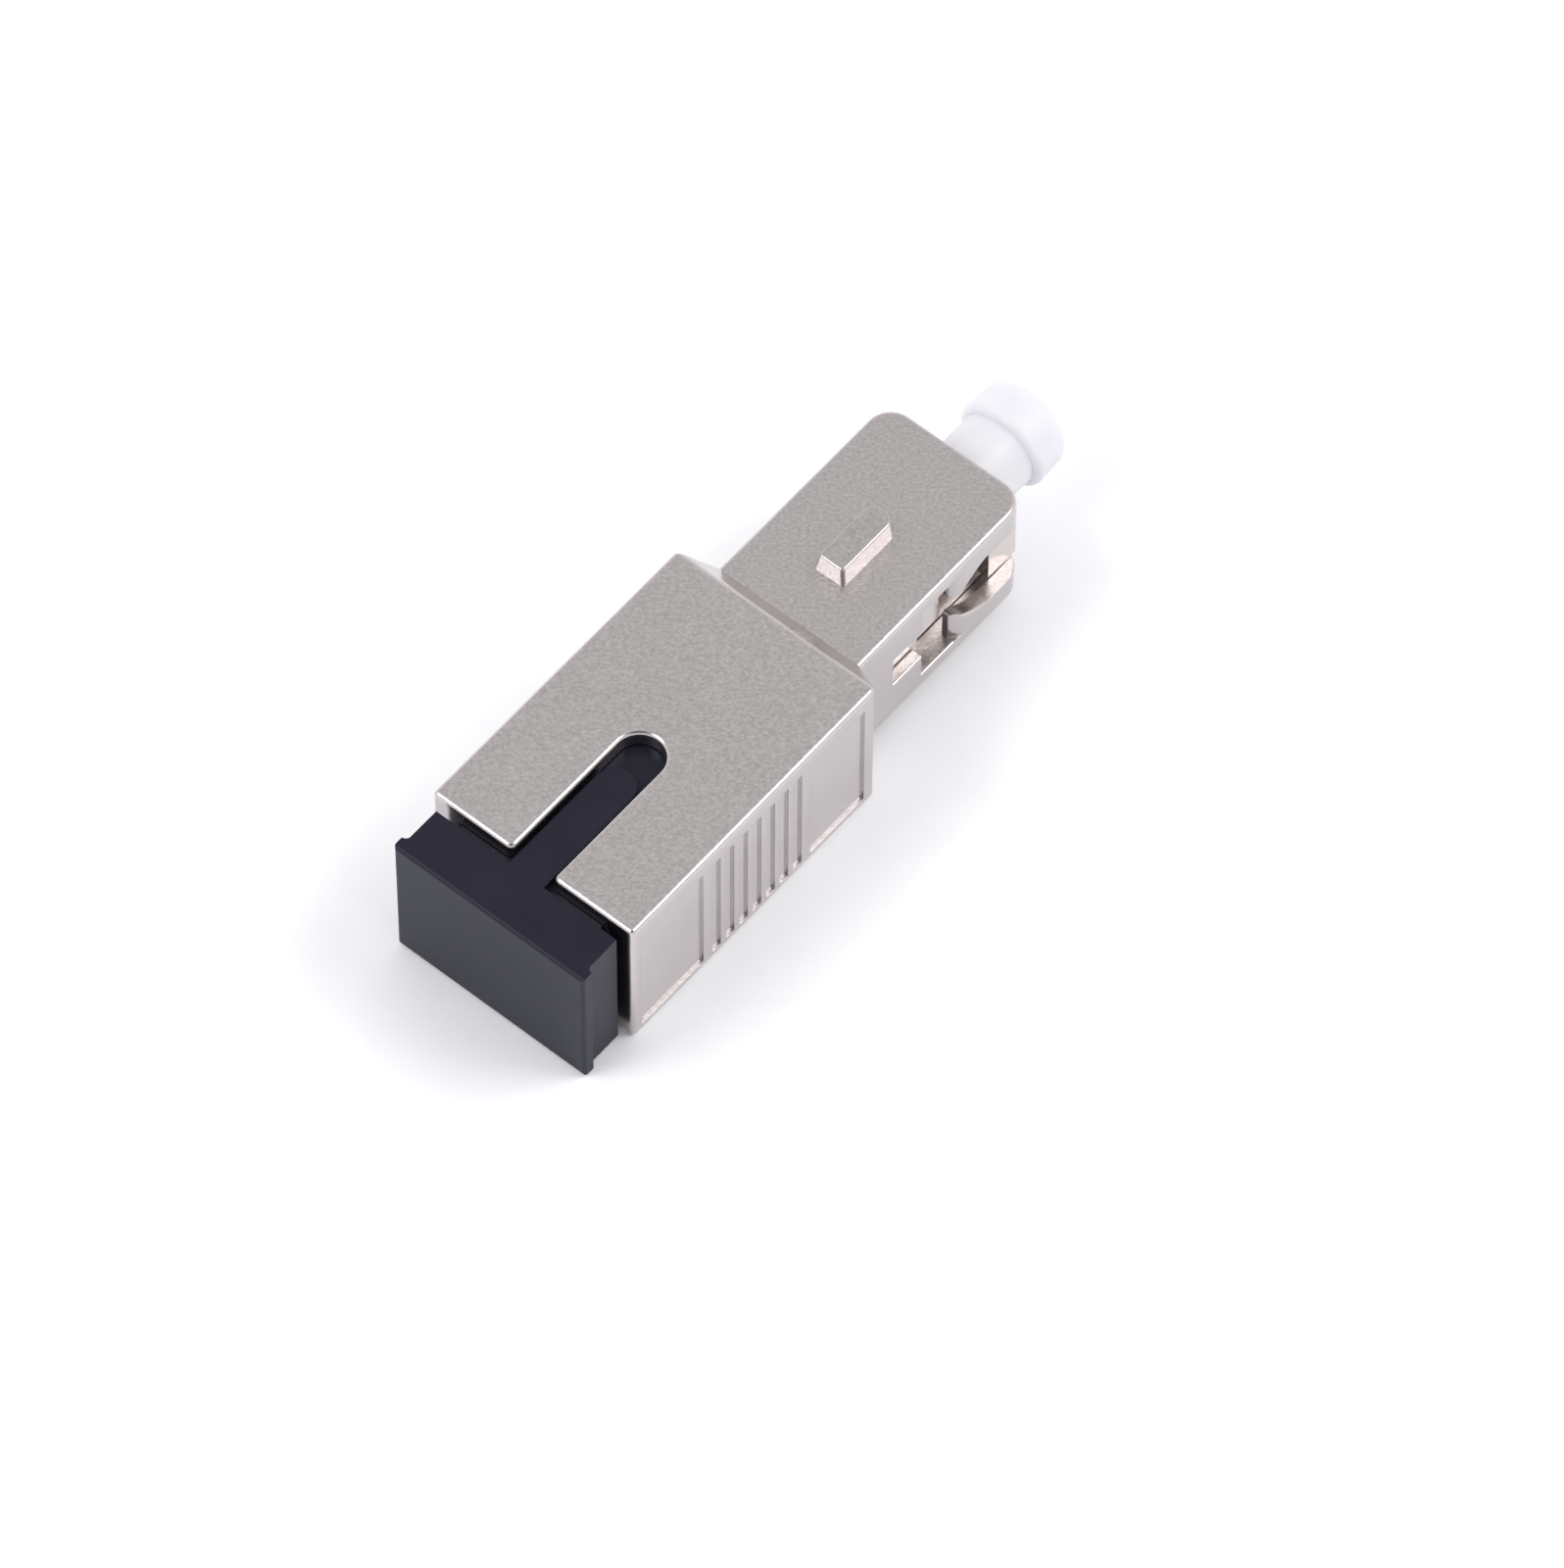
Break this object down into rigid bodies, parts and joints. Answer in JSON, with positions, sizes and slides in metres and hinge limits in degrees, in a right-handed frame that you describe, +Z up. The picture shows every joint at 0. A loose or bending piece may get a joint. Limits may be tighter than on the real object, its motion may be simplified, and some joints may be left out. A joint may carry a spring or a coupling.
{
  "type": "fibre optic attenuator",
  "caption": "Plug-in fibre optic attenuator: metal housing with a square push-pull socket at one end and a matching plug at the other, with dust plug and ferrule cap fitted.",
  "frame": {"origin": "centre of the receptacle block's bottom face", "axes": "+X along the optical axis from the socket to the plug, +Z up on the key's side"},
  "size_m": [0.0414, 0.0126, 0.0095],
  "materials": {
    "nickel": "satin nickel plate on a zinc die casting",
    "black_plastic": "smooth moulded",
    "ivory_plastic": "moulded",
    "zirconia": "ground and polished",
    "silica": "polished",
    "steel": "bright",
    "clear_white_plastic": "soft translucent moulding"
  },
  "bodies": {
    "housing": {"main_housing": "nickel", "latch_insert": "ivory_plastic", "split_sleeve": "zirconia", "sleeve_retainer": "ivory_plastic"},
    "plug_core": {"plug_frame": "nickel", "spring_stop": "ivory_plastic", "ferrule_spring": "steel"},
    "ferrule_unit": {"ferrule": "zirconia", "ferrule_flange": "steel", "attenuating_fibre": "silica"},
    "cap": {"ferrule_cap": "clear_white_plastic"},
    "stopper": {"dust_plug": "black_plastic"}
  },
  "joints": [
    {"name": "push_pull_slide", "type": "slide", "parent": "housing", "child": "plug_core", "axis": [1, 0, 0], "range_m": [0, 0.0016]},
    {"name": "ferrule_float", "type": "slide", "parent": "plug_core", "child": "ferrule_unit", "axis": [1, 0, 0], "range_m": [-0.0008, 0], "stiffness_N_per_m": 2500, "springref_m": 0.0025, "deforming": ["ferrule_spring"]},
    {"name": "cap_pull_off", "type": "slide", "parent": "ferrule_unit", "child": "cap", "axis": [1, 0, 0], "range_m": [0, 0.01]},
    {"name": "dust_plug_pull_out", "type": "slide", "parent": "housing", "child": "stopper", "axis": [-1, 0, 0], "range_m": [0, 0.011]}
  ]
}
